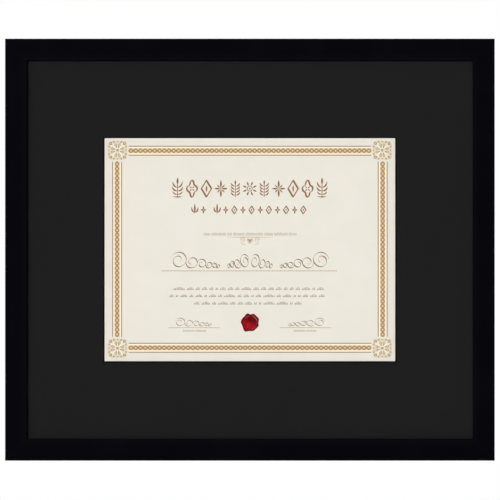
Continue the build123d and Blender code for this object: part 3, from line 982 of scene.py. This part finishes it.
# Where a scroll starts and ends beside the middle, its line, height, falloff, count and pen
OUTER_SCROLL = (74.5, 27.0, -17.1, 14.6, 0.74, 6, PEN)
INNER_SCROLL = (0.3, 22.0, -17.1, 0.85 * 14.6, 0.7, 4, PEN)
SMALL_SCROLL = (70.7, 35.5, -71.8, 7.4, 0.8, 6, FINE_PEN)
DOTTED_HEIGHT, DOTTED_REACH, DOTTED_PITCH = -19.9, 82.5, 1.25
DOT_HALF, DOT_WIDTH = 0.48, 1.05
RULE_HEIGHT, RULE_SPAN, RULE_WIDTH = -73.3, (28.1, 76.5), 0.44
LOOP_LINES = ((-37.7, -72.2, 70.4), (-44.4, -75.9, 74.1), (-51.4, -52.9, 50.7))  # height, start and end
LOOP_PITCH, LOOP_GAP = 1.35, 1.7
LOOP_RISE, LOOP_SWELL = 1.1, 1.5  # a loop's least height, and what the middle ones of a run add
LOOP_SWING, LOOP_SLANT, LOOP_STEPS = 0.27, 0.3, 10
LOOP_PEN = (0.19, 0.42)
# A line of ticks: its foot, head, pitch and width, and how many stand together
SMALL_SPAN, SMALL_TICKS = (-43.1, 44.1), (13.3, 16.2, 0.92, 0.3, (7, 15, 5, 12, 18, 9, 14))
CAPTION_SPANS, CAPTION_TICKS = ((-62.7, -41.2), (41.4, 62.9)), (-77.1, -75.1, 0.8, 0.26, (14,))


def pen_loops(start, end, line, rises):
    """Joined loops along a line: the pen runs on steadily and swings back once a loop, while it rises
    from the line and falls by (1 - cos) / 2 of that loop's height, and leans by its slant."""
    turn = np.linspace(0, len(rises), len(rises) * LOOP_STEPS + 1)
    lift = np.append(np.repeat(rises, LOOP_STEPS), rises[-1]) * (1 - np.cos(2 * np.pi * turn)) / 2
    pitch = (end - start) / len(rises)
    run = start + pitch * (turn + LOOP_SWING * np.sin(2 * np.pi * turn)) + LOOP_SLANT * lift
    return np.stack([run, line + lift], axis=1)


def running_scroll(ink, start, end, line, height, falloff, count, pen):
    """Half circles side by side from start to end, over and under by turns, each smaller than the last
    by the falloff. At its far end each winds on inwards as a spiral, and the next sets out from there.
    As their sizes fall evenly, a level slope sets all their feet on the line."""
    radii = height / 2 * falloff ** np.arange(count)
    joints = np.concatenate([[0], np.cumsum(2 * radii)])
    middles = (joints[:-1] + joints[1:]) / 2
    slope = (radii[1] - radii[0]) / (middles[1] - middles[0])
    way = np.sign(end - start)
    squeeze = (end - start) / joints[-1]

    def settled(run, up):
        rest = radii[0] + slope * (run - middles[0]) + up
        return np.stack([start + run * squeeze + way * PEN_LEAN * (rest - height / 2), line + rest], axis=-1)

    half_turn, inward = np.linspace(np.pi, 0, ARCH_POINTS), np.linspace(0, 1, SPIRAL_POINTS)
    stem = []
    for number, (middle, radius) in enumerate(zip(middles, radii)):
        side = 1 if number % 2 == 0 else -1
        stem.append(settled(middle + radius * np.cos(half_turn), side * radius * np.sin(half_turn)))
        turn = -2 * np.pi * inward * (FIRST_SPIRAL_TURNS if number == 0 else SPIRAL_TURNS)
        reach = radius * (1 - SPIRAL_DEPTH * inward**SPIRAL_EASE)
        wound = settled(middle + reach * np.cos(turn), side * reach * np.sin(turn))
        ink.strip(wound, nib(wound, *pen) * np.clip(2.2 * (1 - inward), 0.35, 1))
    stem = np.concatenate([stem[0]] + [arch[1:] for arch in stem[1:]])
    from_tip = np.minimum(np.arange(len(stem)), np.arange(len(stem))[::-1])
    ink.strip(stem, nib(stem, *pen) * np.clip(from_tip / 10, 0.3, 1))


def ticks(ink, rng, start, end, foot, head, pitch, width, groups):
    """A line of fine upright ticks, in groups of uneven length with a tick left out between them."""
    places = np.arange(start, end, pitch)
    gaps = np.cumsum(np.concatenate([groups, [len(places)]]) + 1) - 1
    shown = places[~np.isin(np.arange(len(places)), gaps)]
    feet = np.stack([shown, np.full_like(shown, foot)], axis=1)
    heads = np.stack([shown + 0.1, head - rng.random(len(shown)) * 0.25 * (head - foot)], axis=1)
    ink.strip(np.stack([feet, heads], axis=1), width)


def make_writing():
    """Pen scrolls over a dotted rule, three lines of pen loops, and below them two small scrolls, each
    over its rule and a row of ticks."""
    rng = np.random.default_rng(14)
    small = Ink()
    ticks(small, rng, *SMALL_SPAN, *SMALL_TICKS)
    small.lay("small_line_ticks", "small_line_ink", 150, 130, 100)

    scrolls, small_scrolls, rules = Ink(), Ink(), Ink()
    kinds = ((scrolls, OUTER_SCROLL), (scrolls, INNER_SCROLL), (small_scrolls, SMALL_SCROLL))
    for way in (-1, 1):
        for ink, (start, end, *shape) in kinds:
            running_scroll(ink, way * start, way * end, *shape)
        rules.strip([(way * x, RULE_HEIGHT) for x in RULE_SPAN], RULE_WIDTH)
    scrolls.lay("pen_scrolls", "pen_scroll_ink", 124, 72, 24)
    small_scrolls.lay("small_pen_scrolls", "small_scroll_ink", 130, 92, 50)

    dots = np.arange(-DOTTED_REACH, DOTTED_REACH, DOTTED_PITCH)
    across = np.linspace(-1, 1, 5)
    path = np.stack([DOT_HALF * across, np.zeros(5)], axis=1)
    spots = np.stack([dots, np.full_like(dots, DOTTED_HEIGHT)], axis=1)
    rules.strip(path + spots[:, None], DOT_WIDTH * np.sqrt(1.02 - across**2))
    rules.lay("dotted_and_plain_rules", "rule_ink", 184, 160, 128)

    loops = Ink()
    for line, start, end in LOOP_LINES:
        while (room := int((end - start) / LOOP_PITCH)) > 1:
            count = min(int(rng.integers(2, 9)), room)
            stop = start + LOOP_PITCH * count
            rises = LOOP_RISE + LOOP_SWELL * np.sin(np.pi * (np.arange(count) + 0.5) / count) ** 2
            path = pen_loops(start, stop, line, rises)
            loops.strip(path, nib(path, *LOOP_PEN))
            start = stop + LOOP_GAP
    loops.lay("lines_of_loops", "loop_ink", 132, 98, 50)

    captions = Ink()
    for span in CAPTION_SPANS:
        ticks(captions, rng, *span, *CAPTION_TICKS)
    captions.lay("caption_ticks", "caption_ink", 142, 112, 72)


# Floor, light and camera

FLOOR_DROP = 0.15  # below the frame's foot
FLOOR_RADIUS = 7.0
FLOOR_RINGS, FLOOR_SPOKES = 24, 64
FLOOR_NEAR, FLOOR_FAR = 0.5, 1.3  # where the floor starts to fade to white, and where it is white
FLOOR_GLOW = 0.45  # the share of white in the floor near the frame
AMBIENT = 0.126
LAMP_DISTANCE = 9.0
PICTURE_WIDTH = 0.4693  # what the picture spans at the frame's front
LENS, SENSOR = 500.0, 36.0
SHIFT_RIGHT, SHIFT_UP = 0.1 * MM, -0.3 * MM  # where the picture's middle lies on the frame


def seen_directly(shading):
    """1 for the rays that show the surroundings by themselves: camera, glossy and transmission rays."""
    path = shading.add("LightPath").outputs
    direct = shading.math("MAXIMUM", path["Is Camera Ray"], path["Is Glossy Ray"])
    return shading.math("MAXIMUM", direct, path["Is Transmission Ray"])


def make_floor():
    """A round floor below the frame, on a grid of rings. Near the frame it is a pale surface that keeps
    the shadow, and further out it fades into the white of the surroundings. From below it is clear."""
    pale = Finish("studio_floor")
    x, y, _ = pale.parts(pale.place)
    speckle = pale.noise(pale.place, 60.0, 2.0)
    colour = pale.mix(speckle, (236, 236, 234), (240, 240, 238))
    matte = pale.add("BsdfDiffuse", {"Color": colour})
    white = pale.add("Emission", {"Color": WHITE, "Strength": 1.0})
    fade = pale.rise(pale.length(X=x, Y=y), FLOOR_NEAR, FLOOR_FAR, FLOOR_GLOW, 1.0)
    share = pale.times(seen_directly(pale), fade)
    above = pale.add("MixShader", {0: share, 1: matte, 2: white})
    clear = pale.add("BsdfTransparent")
    below = pale.add("NewGeometry").outputs["Backfacing"]
    both = pale.add("MixShader", {0: below, 1: above, 2: clear})
    radii = FLOOR_RADIUS * (np.arange(1, FLOOR_RINGS + 1) / FLOOR_RINGS) ** 2
    angles = np.arange(FLOOR_SPOKES) * 2 * np.pi / FLOOR_SPOKES
    flat = np.concatenate([on_circle(angles, radii[:, None]).reshape(-1, 2), [(0, 0)]])
    points = np.insert(flat, 2, RAIL_LOW[2] - FLOOR_DROP, axis=1)
    faces = round_faces(FLOOR_RINGS, FLOOR_SPOKES)
    add_mesh("floor", points, faces, pale.surface(both))


def make_surroundings():
    """White where it is seen directly or in gloss, and a plain grey level for what it lights."""
    world = bpy.data.worlds.new("surroundings")
    world.use_nodes = True
    bpy.context.scene.world = world
    sky = Shading(world.node_tree)
    sky.tree.nodes.clear()
    level = sky.rise(seen_directly(sky), 0.0, 1.0, AMBIENT, 1.0)
    background = sky.add("Background", {"Color": WHITE, "Strength": level})
    sky.add("OutputWorld", {"Surface": background})


def add_lamp(name, right, up, half_right, half_up, level):
    """A soft rectangular lamp that faces the frame's middle from so many degrees to the right of the
    front and up, and spans so many degrees to each side. A white surface square to it shows level."""
    azimuth, elevation = np.radians(right), np.radians(up)
    out = np.cos(elevation)
    toward = Vector((np.sin(azimuth) * out, -np.cos(azimuth) * out, np.sin(elevation)))
    lamp = bpy.data.lights.new(name, "AREA")
    lamp.shape = "RECTANGLE"
    lamp.size = 2 * LAMP_DISTANCE * np.tan(np.radians(half_right))
    lamp.size_y = 2 * LAMP_DISTANCE * np.tan(np.radians(half_up))
    lamp.energy = level * (np.pi * LAMP_DISTANCE) ** 2
    holder = show(name, lamp)
    holder.location = Vector((MIDDLE_X, FRAME_FRONT, MIDDLE_Z)) + toward * LAMP_DISTANCE
    holder.rotation_euler = (-toward).to_track_quat("-Z", "Y").to_euler()
    holder.visible_camera = False


def make_light_and_camera():
    """A key lamp from the upper left, so that the lip shades the mat there, a lamp behind the frame and
    to its side, a weak one overhead, and a long lens square to the frame."""
    add_lamp("key_lamp", right=-14, up=7, half_right=9.5, half_up=8.5, level=0.72)
    add_lamp("rear_lamp", right=140, up=18, half_right=13, half_up=13, level=0.95)
    add_lamp("top_lamp", right=0, up=90, half_right=12, half_up=12, level=0.05)
    camera = bpy.data.cameras.new("camera")
    camera.lens, camera.sensor_width = LENS, SENSOR
    holder = show("camera", camera)
    distance = PICTURE_WIDTH * LENS / SENSOR
    holder.location = (MIDDLE_X + SHIFT_RIGHT, FRAME_FRONT - distance, MIDDLE_Z + SHIFT_UP)
    holder.rotation_euler = (np.pi / 2, 0, 0)
    bpy.context.scene.camera = holder
    bpy.context.scene.view_settings.view_transform = "Standard"


dress_frame()
make_wax_seal()
make_border()
make_corners()
make_headings()
make_fan()
make_writing()
make_floor()
make_surroundings()
make_light_and_camera()
